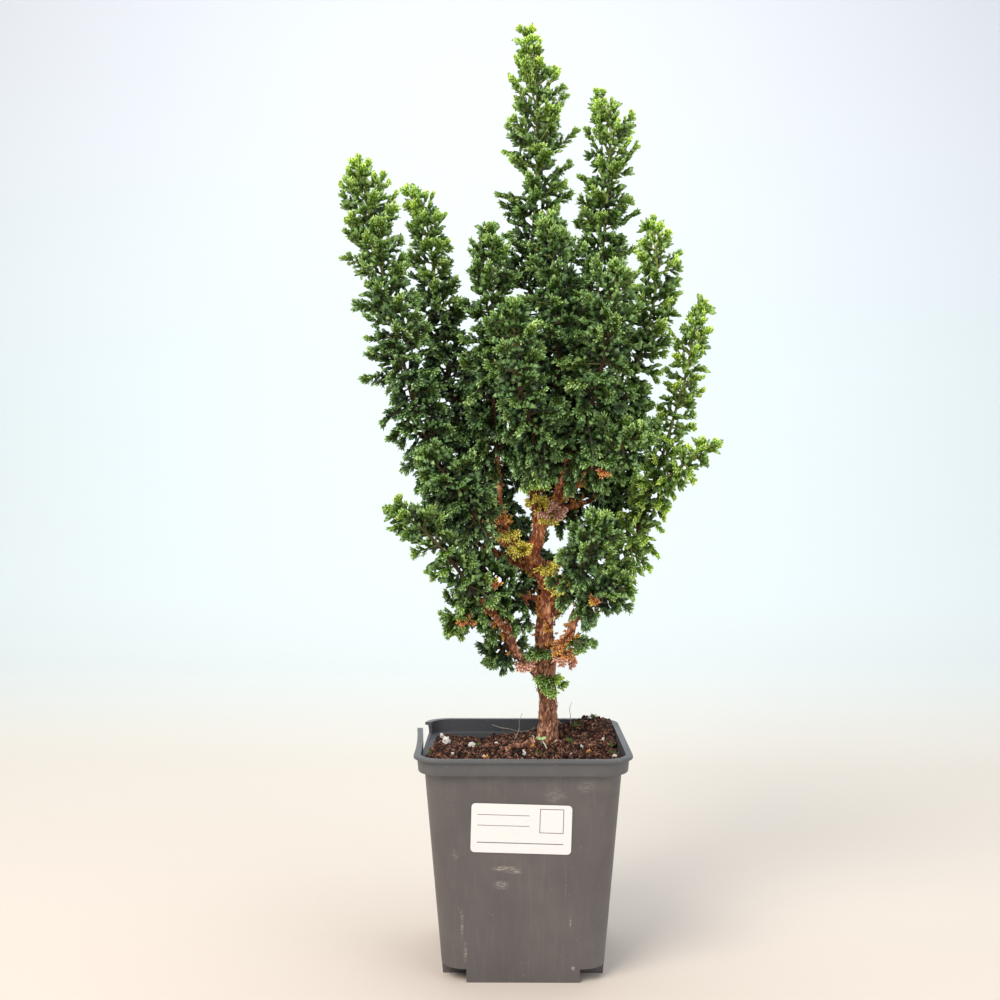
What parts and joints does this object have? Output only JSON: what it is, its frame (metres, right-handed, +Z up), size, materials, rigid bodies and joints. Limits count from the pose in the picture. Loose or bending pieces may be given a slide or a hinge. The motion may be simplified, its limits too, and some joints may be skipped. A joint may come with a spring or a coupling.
{
  "type": "hinoki cypress bonsai",
  "caption": "Small hinoki cypress with upright plumes of dense green foliage on a gnarled red-brown trunk, standing in soil in a square plastic nursery pot.",
  "frame": {"origin": "middle of the pot's underside, on the surface it stands on", "axes": "+Z up, the trunk's way; -Y towards the front wall with the label; +X to the right seen from the front"},
  "size_m": [0.2046, 0.1256, 0.505],
  "materials": {
    "pot_plastic": "moulded dark grey plastic with scuffs",
    "label_paper": "smooth white paper",
    "peat_soil": "crumbly fibrous peat",
    "cypress_bark": "flaky red-brown bark",
    "cypress_leaf": "waxy green scale leaves",
    "yellowed_leaf": "waxy yellowed scale leaves",
    "dead_leaf": "dry brown scale leaves",
    "seedling_leaf": "soft pale green leaf"
  },
  "bodies": {
    "root": {"pot": "pot_plastic", "label": "label_paper", "soil": "peat_soil", "wood": "cypress_bark", "seedling": "seedling_leaf", "sprig_trunk_low": "cypress_leaf", "sprig_trunk_mid": "cypress_leaf", "sprig_right": "cypress_leaf", "yellow_fan_left": "yellowed_leaf", "yellow_fan_top": "yellowed_leaf", "yellow_fan_right": "yellowed_leaf", "dead_spray_top": "dead_leaf", "dead_spray_low": "dead_leaf", "dead_spray_left": "dead_leaf", "leafy_outer_left": "cypress_leaf", "leafy_inner_left": "cypress_leaf", "leafy_top": "cypress_leaf", "leafy_right_top": "cypress_leaf", "leafy_right": "cypress_leaf", "leafy_far_right": "cypress_leaf", "leafy_low_left": "cypress_leaf", "leafy_hanging_left": "cypress_leaf", "leafy_hanging_low": "cypress_leaf", "leafy_mid_left": "cypress_leaf", "leafy_back_left": "cypress_leaf", "leafy_inner_low": "cypress_leaf", "leafy_left_top": "cypress_leaf", "leafy_front_top": "cypress_leaf", "leafy_front_right": "cypress_leaf", "leafy_front": "cypress_leaf", "leafy_right_mid": "cypress_leaf", "leafy_low_right": "cypress_leaf", "leafy_low_front": "cypress_leaf", "leafy_low_back": "cypress_leaf", "leafy_back_tall": "cypress_leaf", "leafy_back_inner": "cypress_leaf", "leafy_back_right": "cypress_leaf", "leafy_back_low": "cypress_leaf"}
  },
  "joints": []
}
